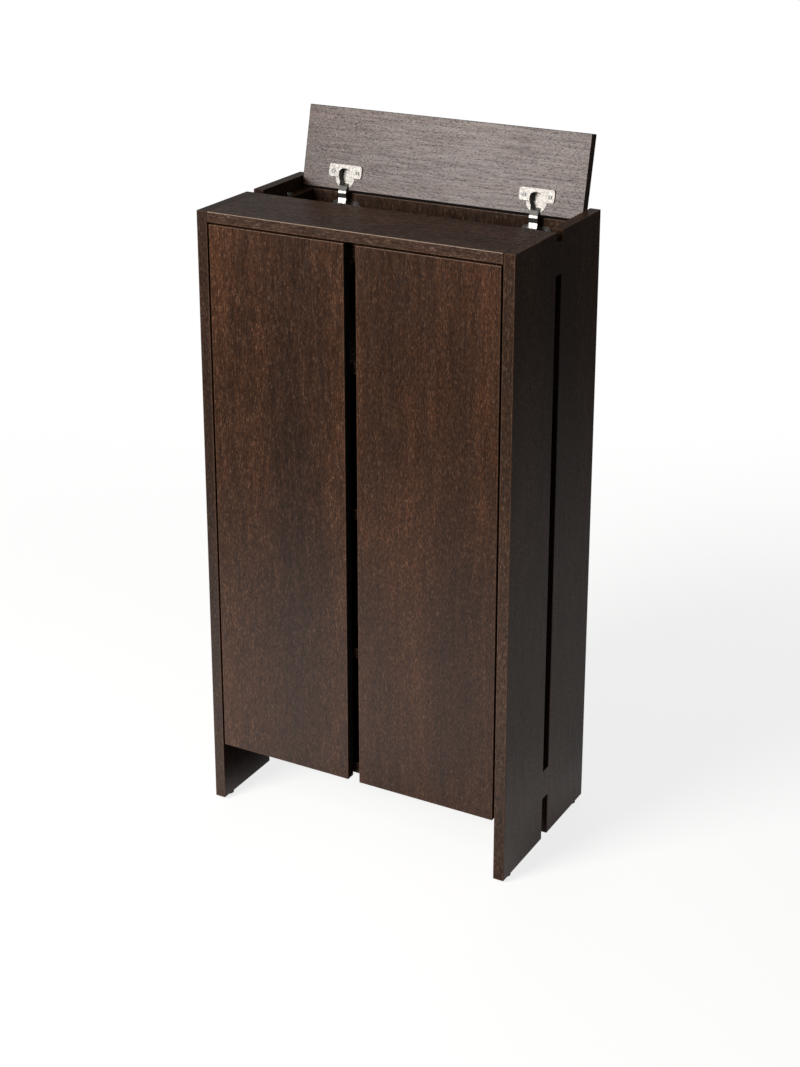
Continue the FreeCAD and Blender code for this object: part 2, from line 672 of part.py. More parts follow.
def hinge_arm(path, face, arm_top):
    """An arm: knuckle, bent nose and a channel that straddles the mounting plate's ridge."""
    half_nose = NOSE_WIDTH / 2
    half_arm = ARM_WIDTH / 2
    outer = face + ARM_HEIGHT
    start = Z * -half_nose
    nose = nose_face(path)
    nose.translate(start)
    ends = (arm_top - ARM_LENGTH, arm_top)
    channel = block((outer - ARM_FLANGE, outer), ends, (-half_arm, half_arm))
    inside = half_arm - ARM_WALL
    channel = channel.cut(block((outer - ARM_FLANGE, outer - ARM_WALL), ends, (-inside, inside)))
    arm = nose.extrude(Z * NOSE_WIDTH).fuse([rod(start, Z, KNUCKLE_RADIUS, NOSE_WIDTH), channel])
    holes = [screw_hole(*place, ARM_SCREW) for place in arm_screw_places(face, arm_top)]
    return arm.cut([rod(start, Z, PIN_RADIUS + PIN_RUNNING_FIT, NOSE_WIDTH)] + holes).removeSplitter()


def arm_screw_places(face, arm_top):
    """The screws that clamp and adjust an arm on its plate."""
    return [
        (FreeCAD.Vector(face + ARM_HEIGHT, arm_top - setback, 0), X * -1)
        for setback in ARM_SCREW_SETBACKS
    ]


def plate_screw_places(face, middle):
    """The screws that hold a mounting plate to its board."""
    seat = face + PLATE_THICKNESS
    return [
        (FreeCAD.Vector(seat, middle, side * PLATE_SCREW_SPACING / 2), X * -1)
        for side in (-1, 1)
    ]


def hinge_plate(face, arm_top, middle):
    """A mounting plate: two round-ended wings on the board and a ridge that carries the arm."""
    half_height = PLATE_HEIGHT / 2
    half_width = PLATE_WIDTH / 2
    straight = half_width - half_height
    wings = block((face, face + PLATE_THICKNESS), (middle - half_height, middle + half_height),
                  (-straight, straight))
    ends = [
        rod(FreeCAD.Vector(face, middle, side * straight), X, half_height, PLATE_THICKNESS)
        for side in (-1, 1)
    ]
    half_ridge = ARM_WIDTH / 2 - ARM_WALL - PLATE_RIDGE_PLAY
    ridge_ends = (arm_top - ARM_LENGTH + PLATE_RIDGE_INSET, arm_top - PLATE_RIDGE_INSET)
    ridge = block((face, face + ARM_HEIGHT - ARM_WALL), ridge_ends, (-half_ridge, half_ridge))
    holes = [screw_hole(*place, PLATE_SCREW) for place in plate_screw_places(face, middle)]
    holes += [screw_hole(*place, ARM_SCREW) for place in arm_screw_places(face, arm_top)]
    return wings.fuse(ends + [ridge]).removeSplitter().cut(holes)


# Lid hinges: the arm drops to its plate on the back panel, with a shoulder, a neck and a leaning foot

LID_FACE = LID_AXIS_BEHIND_BACK
LID_SLOPE_END = NOSE_RISE - LID_NOSE_FALL
LID_SHOULDER_END = LID_SLOPE_END - LID_SHOULDER_FALL
LID_NECK_END = LID_SHOULDER_END - LID_NECK_FALL
LID_FOOT_END = LID_NECK_END - LID_FOOT_FALL
LID_ARM_TOP = LID_FOOT_END + ARM_OVERLAP
LID_PLATE_MIDDLE = LID_ARM_TOP - LID_PLATE_SETBACK


def lid_nose_path():
    """The lid hinge's nose: out of the cup, down a slope, then shoulder, neck and foot into the arm."""
    drop = LID_FACE + ARM_HEIGHT - NOSE_THICKNESS / 2
    neck = drop - LID_FOOT_LEAN
    shoulder = neck + LID_NECK_LEAN
    points = [
        (0, NOSE_RISE), (LID_NOSE_REACH, NOSE_RISE), (shoulder - LID_SHOULDER_LEAN, LID_SLOPE_END),
        (shoulder, LID_SHOULDER_END), (neck, LID_NECK_END), (drop, LID_FOOT_END),
    ]
    return [FreeCAD.Vector(x, y, 0) for x, y in points]


def at_lid_hinge(solid, sign):
    """A hinge piece moved to one of the lid's hinges, with the lid shut."""
    origin = FreeCAD.Vector(sign * LID_HINGE_SPACING / 2, LID_AXIS_Y, LID_AXIS_Z)
    return placed(solid, origin, Y * -1, Z)


def lid_plate_screw_places(sign):
    """The lid hinge plate's screws in the back panel, as head seats and directions."""
    x = sign * LID_HINGE_SPACING / 2
    return [
        (FreeCAD.Vector(x + local.z, LID_AXIS_Y - local.x, LID_AXIS_Z + local.y), Y)
        for local, _ in plate_screw_places(LID_FACE, LID_PLATE_MIDDLE)
    ]


def raised(solid):
    """A piece of the lid turned from shut to fully open."""
    opened = solid.copy()
    opened.rotate(FreeCAD.Vector(0, LID_AXIS_Y, LID_AXIS_Z), X, -LID_OPEN_ANGLE)
    return opened


def lid():
    """The lift-up rear half of the top, raised."""
    half = INNER_HALF - LID_SIDE_GAP
    solid = board((-half, half), (LID_FRONT, LID_REAR), (LID_LOW, SIDE_TOP))
    bores = [
        at_lid_hinge(bore, sign)
        for sign in SIDES.values()
        for bore in cup_bore(LID_AXIS_FROM_UNDERSIDE)
    ]
    return raised(solid.cut(bores))


def lid_hinges():
    """The lid's two hinges."""
    pieces = {}
    for name, sign in SIDES.items():
        cup = at_lid_hinge(hinge_cup(LID_AXIS_FROM_UNDERSIDE), sign)
        pieces["lid_%s_cup" % name] = raised(cup)
        pieces["lid_%s_arm" % name] = at_lid_hinge(hinge_arm(lid_nose_path(), LID_FACE, LID_ARM_TOP), sign)
        plate = hinge_plate(LID_FACE, LID_ARM_TOP, LID_PLATE_MIDDLE)
        pieces["lid_%s_plate" % name] = at_lid_hinge(plate, sign)
    signs = SIDES.values()
    pieces["lid_hinge_pins"] = Part.makeCompound([raised(at_lid_hinge(hinge_pin(), sign)) for sign in signs])
    pieces["lid_cup_screws"] = Part.makeCompound([
        raised(at_lid_hinge(screw(*place, CUP_SCREW), sign))
        for sign in signs
        for place in flange_screw_places(LID_AXIS_FROM_UNDERSIDE)
    ])
    pieces["lid_plate_screws"] = Part.makeCompound([
        screw(*place, PLATE_SCREW) for sign in signs for place in lid_plate_screw_places(sign)
    ])
    pieces["lid_arm_screws"] = Part.makeCompound([
        at_lid_hinge(screw(*place, ARM_SCREW), sign)
        for sign in signs
        for place in arm_screw_places(LID_FACE, LID_ARM_TOP)
    ])
    return pieces


# Door hinges: the arm is cranked back to its plate on the side board

DOOR_FACE = -DOOR_GAP - DOOR_AXIS_FROM_EDGE
DOOR_ARM_TOP = -DOOR_AXIS_FROM_BACK - DOOR_ARM_SETBACK
DOOR_PLATE_MIDDLE = DOOR_ARM_TOP - DOOR_PLATE_SETBACK


def door_nose_path():
    """The door hinge's nose: along the cup, out of its mouth and back to the arm."""
    crank = DOOR_ARM_TOP - NOSE_THICKNESS / 2
    points = [
        (0, NOSE_RISE), (DOOR_NOSE_REACH - DOOR_NOSE_SLOPE, NOSE_RISE),
        (DOOR_NOSE_REACH, NOSE_RISE - DOOR_NOSE_SLOPE), (DOOR_NOSE_REACH, crank),
        (DOOR_FACE + ARM_HEIGHT - ARM_WALL / 2, crank),
    ]
    return [FreeCAD.Vector(x, y, 0) for x, y in points]


def at_door_hinge(solid, sign, height):
    """A hinge piece moved to one of a door's hinges, with the door shut."""
    origin = FreeCAD.Vector(sign * DOOR_AXIS_X, DOOR_AXIS_FROM_FRONT, height)
    return placed(solid, origin, X * -sign, Y * -1)


def door_plate_screw_places(sign, height):
    """One door hinge plate's screws in the side board, as head seats and directions."""
    places = []
    for local, _ in plate_screw_places(DOOR_FACE, DOOR_PLATE_MIDDLE):
        x = sign * (DOOR_AXIS_X - local.x)
        places.append((FreeCAD.Vector(x, DOOR_AXIS_FROM_FRONT - local.y, height + local.z), X * sign))
    return places


def door(sign):
    """An inset door, shut."""
    solid = board(
        (sign * DOOR_FINGER_GAP / 2, sign * DOOR_EDGE),
        (0, DOOR_THICKNESS),
        (DOOR_LOW, DOOR_TOP),
    )
    bores = [
        at_door_hinge(bore, sign, height)
        for height in DOOR_HINGE_HEIGHTS.values()
        for bore in cup_bore(DOOR_AXIS_FROM_BACK)
    ]
    return solid.cut(bores)


def door_hinges():
    """The two hinges of each door."""
    pieces = {}
    plate_screws = []
    arm_screws = []
    for name, sign in SIDES.items():
        pins = []
        cup_screws = []
        for level, height in DOOR_HINGE_HEIGHTS.items():
            label = "%s_%s" % (name, level)
            cup = hinge_cup(DOOR_AXIS_FROM_BACK)
            arm = hinge_arm(door_nose_path(), DOOR_FACE, DOOR_ARM_TOP)
            plate = hinge_plate(DOOR_FACE, DOOR_ARM_TOP, DOOR_PLATE_MIDDLE)
            pieces[label + "_cup"] = at_door_hinge(cup, sign, height)
            pieces[label + "_arm"] = at_door_hinge(arm, sign, height)
            pieces[label + "_plate"] = at_door_hinge(plate, sign, height)
            pins.append(at_door_hinge(hinge_pin(), sign, height))
            cup_screws += [
                at_door_hinge(screw(*place, CUP_SCREW), sign, height)
                for place in flange_screw_places(DOOR_AXIS_FROM_BACK)
            ]
            plate_screws += [screw(*place, PLATE_SCREW) for place in door_plate_screw_places(sign, height)]
            arm_screws += [
                at_door_hinge(screw(*place, ARM_SCREW), sign, height)
                for place in arm_screw_places(DOOR_FACE, DOOR_ARM_TOP)
            ]
        pieces["%s_door_pins" % name] = Part.makeCompound(pins)
        pieces["%s_door_cup_screws" % name] = Part.makeCompound(cup_screws)
    pieces["door_plate_screws"] = Part.makeCompound(plate_screws)
    pieces["door_arm_screws"] = Part.makeCompound(arm_screws)
    return pieces


def cabinet():
    """Every piece by its name."""
    pieces = {
        "front_top": front_top(),
        "bottom_panel": bottom_panel(),
        "back_panel": back_panel(),
        "front_rail": front_rail(),
        "lid": lid(),
        "door_buffers": door_buffers(),
        "lid_buffers": lid_buffers(),
    }
    supports = []
    for name, sign in SIDES.items():
        pieces[name + "_side"] = side_board(sign)
        pieces[name + "_rail"] = lid_rail(sign)
        pieces[name + "_door"] = door(sign)
        for end, stem in foot_places(sign).items():
            pieces["%s_%s_foot" % (end, name)] = foot(stem)
        supports += [shelf_support(sign, place) for place in support_places(sign)]
    pieces["shelf_supports"] = Part.makeCompound(supports)
    for name, top in SHELF_TOPS.items():
        pieces[name + "_shelf"] = shelf(top)
    pieces.update(fasteners_between_boards())
    pieces.update(case_screws())
    pieces.update(lid_hinges())
    pieces.update(door_hinges())
    return pieces


def lid_reach():
    """How far behind the front of the sides the raised lid reaches."""
    angle = math.radians(LID_OPEN_ANGLE)
    along = LID_AXIS_Y - LID_FRONT - EDGE_RADIUS
    outward = LID_THICKNESS - LID_AXIS_FROM_UNDERSIDE - EDGE_RADIUS
    return LID_AXIS_Y - along * math.cos(angle) + outward * math.sin(angle) + EDGE_RADIUS


def main():
    os.makedirs("parts", exist_ok=True)
    middle = lid_reach() / 2
    for name, solid in cabinet().items():
        solid.translate(Y * -middle)
        solid.exportStep("parts/%s.step" % name)
    print("origin behind the front of the sides", round(middle, 4))
    print("lid axis y z", round(LID_AXIS_Y - middle, 4), round(LID_AXIS_Z, 4))
    print("door axis x y", round(DOOR_AXIS_X, 4), round(DOOR_AXIS_FROM_FRONT - middle, 4))


main()
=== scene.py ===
import json
import math

import bpy
import numpy as np
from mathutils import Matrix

# A hallway cabinet of dark stained oak with a lift-up lid, in metres, front towards -Y.

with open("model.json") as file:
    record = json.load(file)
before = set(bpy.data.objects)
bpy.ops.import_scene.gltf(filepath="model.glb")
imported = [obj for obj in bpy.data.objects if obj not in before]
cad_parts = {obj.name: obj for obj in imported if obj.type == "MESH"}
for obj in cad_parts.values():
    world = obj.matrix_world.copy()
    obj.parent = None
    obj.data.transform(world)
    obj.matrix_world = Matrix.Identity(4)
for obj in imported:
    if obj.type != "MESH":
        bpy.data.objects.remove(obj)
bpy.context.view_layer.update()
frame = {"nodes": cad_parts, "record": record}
NODES = frame["nodes"]

# Grain axis of each board, in the order that picks its stretch of veneer
BOARD_GRAINS = {
    "left_side": "Z",
    "right_side": "Z",
    "left_door": "Z",
    "right_door": "Z",
    "back_panel": "Z",
    "front_top": "X",
    "lid": "X",
    "bottom_panel": "X",
    "front_rail": "X",
    "lower_shelf": "X",
    "middle_shelf": "X",
    "upper_shelf": "X",
    "left_rail": "Y",
    "right_rail": "Y",
}
VENEER_STEP = (3.7, 5.3, 7.9)
DOORS = ("left_door", "right_door")

# Factors on the colour of some boards: the front top's pale, bluish factor is a painted reflection, the
# shelves' halved colour is painted shade inside the cabinet, the side boards' greyer factors are partly
# veneer and partly a painted sheen, and the right door's and back panel's factors make them lighter or greyer
PLAIN_TINT = (1.0, 1.0, 1.0)
BOARD_TINTS_AND_PAINTED_LIGHT = {
    "front_top": (1.36, 1.62, 2.00),
    "left_side": (1.05, 1.20, 1.38),
    "right_side": (1.32, 1.46, 1.50),
    "right_door": (1.13, 1.11, 1.08),
    "back_panel": (1.0, 1.25, 1.5),
    # Painted shade inside the cabinet
    "lower_shelf": (0.5, 0.5, 0.5),
    "middle_shelf": (0.5, 0.5, 0.5),
    "upper_shelf": (0.5, 0.5, 0.5),
}

# Boards that are sanded smoother, and boards whose end faces across an axis are dark with painted shade and
# matt
BOARD_RELIEF = {"left_side": 0.5, "right_side": 0.5}
SHADED_END_FACES = {"back_panel": "Z", "left_door": "X", "right_door": "X"}

# Turn about X that squares the raised lid to the axes
LID_TILT = math.radians(103)

# Stained oak, as linear colours
OAK_DARK = (0.038, 0.0156, 0.0074)
OAK_BROWN = (0.051, 0.0200, 0.0088)
OAK_RED = (0.069, 0.0260, 0.0110)
# Edge tone: wear with a painted highlight along the arrises
OAK_WORN_AND_HIGHLIGHT = (0.16, 0.080, 0.045)
# Painted shade: on end faces in gaps, the walls of slots and bores, the front top's joints and the lid's
# edges
OAK_PAINTED_SHADE = (0.006, 0.004, 0.003)
# Painted highlight along the front top's upper front arris
ARRIS_HIGHLIGHT = (0.34, 0.245, 0.18)

# Factors on the oak's colour at pale fibres and pale pores, which are grain with painted highlights of their
# glints, and at the upright sides of the doors
FIBRE_FLECK_AND_GLINT = (1.95, 2.4, 3.0)
PORE_FLECK_AND_GLINT = (1.85, 2.25, 2.8)
DOOR_SIDES = (1.28, 1.26, 1.20)

# Roughness of the oak's face, open pores and matt end faces, and its sheen and relief
OAK_SATIN = 0.28
OAK_OPEN_PORE = 0.42
OAK_MATT_END = 0.95
OAK_SPECULAR = 0.42
OAK_SHEEN_TINT = (1.0, 0.945, 0.93)
OAK_BUMP = 0.35
OAK_BUMP_DEPTH = 0.0004

# Depths below a board's sides between which each mark fades, and the full share of two marks
EDGE_REACH = (0.0008, 0.0022)
EDGE_SHARE = 0.8
CUT_REACH = (0.0006, 0.0020)
CUT_SHARE = 0.5
ARRIS_REACH = (0.0008, 0.0016)
JOINT_REACH = (0.0010, 0.0016)
END_REACH = (0.0002, 0.0005)
DOOR_SIDES_REACH = (0.008, 0.065)

# Noise layers: cycles per metre across and along the grain, detail and roughness
BANDS = (9.0, 1.6, 2.0, 0.55)
STREAKS = (110.0, 12.0, 4.0, 0.6)
FIBRES = (430.0, 115.0, 3.0, 0.6)
PORES = (600.0, 200.0, 2.0, 0.55)
SHEEN_LINES = (260.0, 14.0, 3.0, 0.55)
BEECH_FIBRES = (430.0, 115.0, 3.0, 0.55)
CLOUDS = (400.0, 400.0, 3.0, 0.55)

# Ramp stops: a place in a layer's noise, with the shade or roughness there
BAND_PLACES = (0.34, 0.50, 0.66)
STREAK_SHADES = ((0.30, 0.74), (0.50, 1.0), (0.70, 1.36))
FIBRE_SHADES = ((0.36, 0.48), (0.47, 1.0), (0.55, 1.0), (0.66, FIBRE_FLECK_AND_GLINT))
PORE_SHADES = ((0.34, 0.2), (0.45, 1.0), (0.55, 1.0), (0.66, PORE_FLECK_AND_GLINT))
PORE_GLOSS = ((0.34, OAK_OPEN_PORE), (0.46, OAK_SATIN))
LINE_GLOSS = ((0.32, 1.25), (0.60, 0.94))
EDGE_BREAKS = ((0.35, 0.4), (0.60, 1.0))
SIDE_SHADES = ((0.0, 1.0), (1.0, DOOR_SIDES))

# Beech of the dowels
BEECH_SHADES = ((0.35, (0.36, 0.22, 0.12)), (0.65, (0.50, 0.33, 0.19)))
BEECH_ROUGHNESS = 0.6

# Hardware: linear colour, roughness, metallic and transmission
HARDWARE = {
    "hinge_nickel": ((0.37, 0.355, 0.335), 0.5, 1.0, 0.0),
    # Nickel of the hinge arms and plates: glossier, and painted brighter than the cups' nickel as a lit copy
    "nickel_lit_copy": ((0.46, 0.445, 0.42), 0.34, 1.0, 0.0),
    "screw_steel": ((0.22, 0.215, 0.21), 0.45, 1.0, 0.0),
    "zinc_cam": ((0.46, 0.46, 0.46), 0.45, 1.0, 0.0),
    "black_plastic": ((0.004, 0.004, 0.004), 0.7, 0.0, 0.0),
    "clear_buffer": ((0.9, 0.9, 0.88), 0.2, 0.0, 0.85),
}
# Pieces in the lit copy of the nickel
LIT_COPY_PIECES = ("_arm", "_plate")

# Clouding of the hardware: places in the noise, and the darker shade and the gloss there
CLOUD_PLACES = (0.35, 0.65)
CLOUD_SHADE = 0.88
CLOUD_GLOSS = (1.15, 0.9)

# Camera at the photograph's viewing angle
EYE = (1.537, -2.799, 1.893)
CAMERA_TURN = 28.834
CAMERA_DIP = 18.645
CAMERA_LENS = 66.62
CAMERA_SHIFT = -0.15

# Floor, as the camera and as scattered light see it
ORIGIN = (0, 0, 0)
FLOOR_HALF = 40.0
FLOOR_GLOW = 0.80
FLOOR_DIFFUSE = 0.45
FLOOR_BOUNCE = 0.3
SHADOW_REACH = (0.9, 2.6)

# Floor in reflections, near and far, with painted pools of light by centre, reach and strength, and a painted
# shadow over the object's footprint
MIRRORED_COLOUR = (1.0, 0.95, 0.93)
MIRRORED_FLOOR = (0.27, 0.045)
MIRROR_REACH = (0.3, 3.4)
FOOTPRINT_REACH = (0.2, 0.4)
POOLS = (
    ((-0.45, -0.55, 0), (0.2, 1.3), 0.93),
    ((2.0, -0.2, 0), (0.3, 1.6), 0.35),
    ((-1.0, 2.4, 0), (0.3, 1.6), 0.3),
)

# Strength of the room as light and in reflections
ROOM_LIGHT = 0.07
ROOM_MIRRORED = 0.165

# Soft boxes, slightly warm: name, place, target, width, height and power
LAMP_COLOUR = (1.0, 0.97, 0.94)
LAMPS = (
    ("key", (-1.5, -3.35, 2.0), (0, 0, 0.8), 1.7, 1.3, 100),
    ("high", (-0.9, -2.7, 3.2), (0, 0, 0.9), 1.2, 1.2, 17),
    ("rear", (-1.4, 3.2, 0.6), (0, 0, 0.6), 2.0, 0.9, 30),
    ("right", (3.0, 0.0, 0.9), (0, 0, 0.8), 2.0, 1.2, 1.0),
)


# Shader helpers

def new_material(name):
    """A node material with one Principled shader."""
    material = bpy.data.materials.new(name)
    material.use_nodes = True
    shader = material.node_tree.nodes["Principled BSDF"]
    return material, material.node_tree, shader


def link(tree, output, target):
    """Joins two sockets."""
    tree.links.new(output, target)


def stretched_noise(tree, grain, layer, offset=ORIGIN):
    """Noise on Object coordinates, drawn out along the grain's axis and moved by an offset."""
    across, along, detail, roughness = layer
    coordinates = tree.nodes.new("ShaderNodeTexCoord")
    mapping = tree.nodes.new("ShaderNodeMapping")
    mapping.inputs["Location"].default_value = offset
    mapping.inputs["Scale"].default_value = [along if axis == grain else across for axis in "XYZ"]
    noise = tree.nodes.new("ShaderNodeTexNoise")
    noise.inputs["Scale"].default_value = 1.0
    noise.inputs["Detail"].default_value = detail
    noise.inputs["Roughness"].default_value = roughness
    link(tree, coordinates.outputs["Object"], mapping.inputs["Vector"])
    link(tree, mapping.outputs["Vector"], noise.inputs["Vector"])
    return noise.outputs["Fac"]


def ramp(tree, value, stops):
    """A colour ramp through stops of a place and a level: one number for a neutral, three for a colour."""
    node = tree.nodes.new("ShaderNodeValToRGB")
    elements = node.color_ramp.elements
    while len(elements) < len(stops):
        elements.new(0.5)
    for element, (place, level) in zip(elements, stops):
        element.position = place
        element.color = (*np.broadcast_to(level, 3), 1)
    link(tree, value, node.inputs["Fac"])
    return node.outputs["Color"]


def multiply(tree, first, second):
    """The product of two colours."""
    node = tree.nodes.new("ShaderNodeMix")
    node.data_type = "RGBA"
    node.blend_type = "MULTIPLY"
    node.inputs["Factor"].default_value = 1.0
    link(tree, first, node.inputs[6])
    link(tree, second, node.inputs[7])
    return node.outputs[2]


def mix_colours(tree, share, first, second):
    """The first colour where the share is zero and the second, a constant, where it is one."""
    node = tree.nodes.new("ShaderNodeMix")
    node.data_type = "RGBA"
    link(tree, share, node.inputs["Factor"])
    link(tree, first, node.inputs[6])
    node.inputs[7].default_value = (*second, 1)
    return node.outputs[2]


def vector_step(tree, operation, first, second=ORIGIN):
    """One step of vector arithmetic on an output and a constant."""
    node = tree.nodes.new("ShaderNodeVectorMath")
    node.operation = operation
    link(tree, first, node.inputs[0])
    node.inputs[1].default_value = second
    return node.outputs["Vector"]


def math_step(tree, operation, first, second):
    """One step of arithmetic on two outputs."""
    node = tree.nodes.new("ShaderNodeMath")
    node.operation = operation
    link(tree, first, node.inputs[0])
    link(tree, second, node.inputs[1])
    return node.outputs["Value"]


def fade(tree, value, reach, near, far, curve="SMOOTHSTEP"):
    """A strength that passes from near to far while a value passes between two limits."""
    node = tree.nodes.new("ShaderNodeMapRange")
    node.interpolation_type = curve
    node.inputs["From Min"].default_value = reach[0]
    node.inputs["From Max"].default_value = reach[1]
    node.inputs["To Min"].default_value = near
    node.inputs["To Max"].default_value = far
    link(tree, value, node.inputs["Value"])
    return node.outputs["Result"]


# Depths below a board's sides, and the marks that follow them

def tilted_box(board, tilt):
    """A board's middle and half sizes, after a turn about X that squares it to the axes."""
    mesh = NODES[board].data
    places = np.empty(len(mesh.vertices) * 3)
    mesh.vertices.foreach_get("co", places)
    x, y, z = places.reshape(-1, 3).T
    turned_y = y * math.cos(tilt) - z * math.sin(tilt)
    turned_z = y * math.sin(tilt) + z * math.cos(tilt)
    turned = np.stack([x, turned_y, turned_z])
    low = turned.min(axis=1)
    high = turned.max(axis=1)
    return (low + high) / 2, (high - low) / 2


def board_offset(tree, board, tilt):
    """A place's offset from its board's middle, squared to the axes, and the board's half sizes."""
    middle, half = tilted_box(board, tilt)
    coordinates = tree.nodes.new("ShaderNodeTexCoord")
    mapping = tree.nodes.new("ShaderNodeMapping")
    mapping.inputs["Rotation"].default_value = (tilt, 0, 0)
    link(tree, coordinates.outputs["Object"], mapping.inputs["Vector"])
    return vector_step(tree, "SUBTRACT", mapping.outputs["Vector"], middle), half


def depths_below(tree, offset, half):
    """The half sizes less an offset, which is the depth below a side along each axis."""
    past = vector_step(tree, "SUBTRACT", offset, half)
    split = tree.nodes.new("ShaderNodeSeparateXYZ")
    link(tree, vector_step(tree, "MULTIPLY", past, (-1, -1, -1)), split.inputs["Vector"])
    return split.outputs


def edge_wear_and_painted_light(tree, depths, fibres):
    """A share that rises along a board's edges, where two depths are small, broken by its fibres: it carries
    wear with a painted highlight, and on the lid painted shade.
    """
    x, y, z = depths
    least = math_step(tree, "MINIMUM", x, y)
    most = math_step(tree, "MAXIMUM", x, y)
    second = math_step(tree, "MAXIMUM", least, math_step(tree, "MINIMUM", most, z))
    broken = ramp(tree, fibres, EDGE_BREAKS)
    return math_step(tree, "MULTIPLY", fade(tree, second, EDGE_REACH, EDGE_SHARE, 0.0), broken)


def cut_faces(tree, depths):
    """A share of painted shade that rises on the walls of slots and bores, where no depth is small."""
    x, y, z = depths
    least = math_step(tree, "MINIMUM", math_step(tree, "MINIMUM", x, y), z)
    return fade(tree, least, CUT_REACH, 0.0, CUT_SHARE, "LINEAR")


def front_top_marks(tree, colour, offset, half, depths):
    """A painted highlight along the front top's upper front edge, and painted shade in the joints where its
    ends meet the side boards.
    """
    from_front = depths_below(tree, vector_step(tree, "MULTIPLY", offset, (1, -1, 1)), half)
    arris = math_step(tree, "MAXIMUM", from_front["Y"], from_front["Z"])
    # Painted highlight along the upper front arris
    colour = mix_colours(tree, fade(tree, arris, ARRIS_REACH, 1.0, 0.0), colour, ARRIS_HIGHLIGHT)
    # Painted shade in the joints at the ends
    return mix_colours(tree, fade(tree, depths["X"], JOINT_REACH, 1.0, 0.0), colour, OAK_PAINTED_SHADE)


# Finishes

def stained_oak(board, grain, number):
    """Dark stained oak veneer: broad bands of tone, streaks, fine fibres and short pores along the grain."""
    material, tree, shader = new_material("stained_oak_" + board)
    stretch = [number * step for step in VENEER_STEP]
    bands = stretched_noise(tree, grain, BANDS, stretch)
    streaks = stretched_noise(tree, grain, STREAKS, stretch)
    fibres = stretched_noise(tree, grain, FIBRES, stretch)
    pores = stretched_noise(tree, grain, PORES, stretch)
    sheen_lines = stretched_noise(tree, grain, SHEEN_LINES, stretch)

    # Tones of the board with its factor: a painted reflection on the front top, painted shade on the shelves,
    # partly a painted sheen on the side boards
    tones = np.array(BOARD_TINTS_AND_PAINTED_LIGHT.get(board, PLAIN_TINT)) * (OAK_DARK, OAK_BROWN, OAK_RED)
    colour = ramp(tree, bands, list(zip(BAND_PLACES, tones)))
    colour = multiply(tree, colour, ramp(tree, streaks, STREAK_SHADES))
    # Pale fibres and pores: grain, with painted highlights of their glints
    colour = multiply(tree, colour, ramp(tree, fibres, FIBRE_SHADES))
    colour = multiply(tree, colour, ramp(tree, pores, PORE_SHADES))
    gloss = multiply(tree, ramp(tree, pores, PORE_GLOSS), ramp(tree, sheen_lines, LINE_GLOSS))

    # The lid's edges take painted shade, the other boards' edges wear with a painted highlight
    tilt, edge_tone = (LID_TILT, OAK_PAINTED_SHADE) if board == "lid" else (0, OAK_WORN_AND_HIGHLIGHT)
    offset, half = board_offset(tree, board, tilt)
    depths = depths_below(tree, vector_step(tree, "ABSOLUTE", offset), half)
    if board in DOORS:
        sides = fade(tree, depths["X"], DOOR_SIDES_REACH, 1.0, 0.0)
        colour = multiply(tree, colour, ramp(tree, sides, SIDE_SHADES))
    # Painted shade on the end faces of the back panel and the doors, which sit in gaps
    if board in SHADED_END_FACES:
        ends = fade(tree, depths[SHADED_END_FACES[board]], END_REACH, 1.0, 0.0)
        colour = mix_colours(tree, ends, colour, OAK_PAINTED_SHADE)
        gloss = mix_colours(tree, ends, gloss, np.broadcast_to(OAK_MATT_END, 3))
    # Edges: wear with a painted highlight, and painted shade on the lid
    colour = mix_colours(tree, edge_wear_and_painted_light(tree, depths, fibres), colour, edge_tone)
    # Painted shade on the walls of slots and bores
    colour = mix_colours(tree, cut_faces(tree, depths), colour, OAK_PAINTED_SHADE)
    if board == "front_top":
        colour = front_top_marks(tree, colour, offset, half, depths)

    bump = tree.nodes.new("ShaderNodeBump")
    bump.inputs["Strength"].default_value = OAK_BUMP * BOARD_RELIEF.get(board, 1.0)
    bump.inputs["Distance"].default_value = OAK_BUMP_DEPTH
    link(tree, math_step(tree, "ADD", fibres, pores), bump.inputs["Height"])
    link(tree, colour, shader.inputs["Base Color"])
    link(tree, gloss, shader.inputs["Roughness"])
    link(tree, bump.outputs["Normal"], shader.inputs["Normal"])
    shader.inputs["Specular IOR Level"].default_value = OAK_SPECULAR
    shader.inputs["Specular Tint"].default_value = (*OAK_SHEEN_TINT, 1)
    return material


def beech():
    """Pale beech of the dowels, with fine grain along X."""
    material, tree, shader = new_material("beech_dowel")
    fibres = stretched_noise(tree, "X", BEECH_FIBRES)
    link(tree, ramp(tree, fibres, BEECH_SHADES), shader.inputs["Base Color"])
    shader.inputs["Roughness"].default_value = BEECH_ROUGHNESS
    return material


def mottled(name, colour, roughness, metallic, transmission):
    """A smooth material, slightly cloudy in colour and gloss."""
    material, tree, shader = new_material(name)
    cloud = stretched_noise(tree, "X", CLOUDS)
    shades = (np.multiply(CLOUD_SHADE, colour), colour)
    glosses = np.multiply(CLOUD_GLOSS, roughness)
    link(tree, ramp(tree, cloud, list(zip(CLOUD_PLACES, shades))), shader.inputs["Base Color"])
    link(tree, ramp(tree, cloud, list(zip(CLOUD_PLACES, glosses))), shader.inputs["Roughness"])
    shader.inputs["Metallic"].default_value = metallic
    shader.inputs["Transmission Weight"].default_value = transmission
    return material


def paint(node, material):
    """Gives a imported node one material."""
    mesh = NODES[node].data
    mesh.materials.clear()
    mesh.materials.append(material)


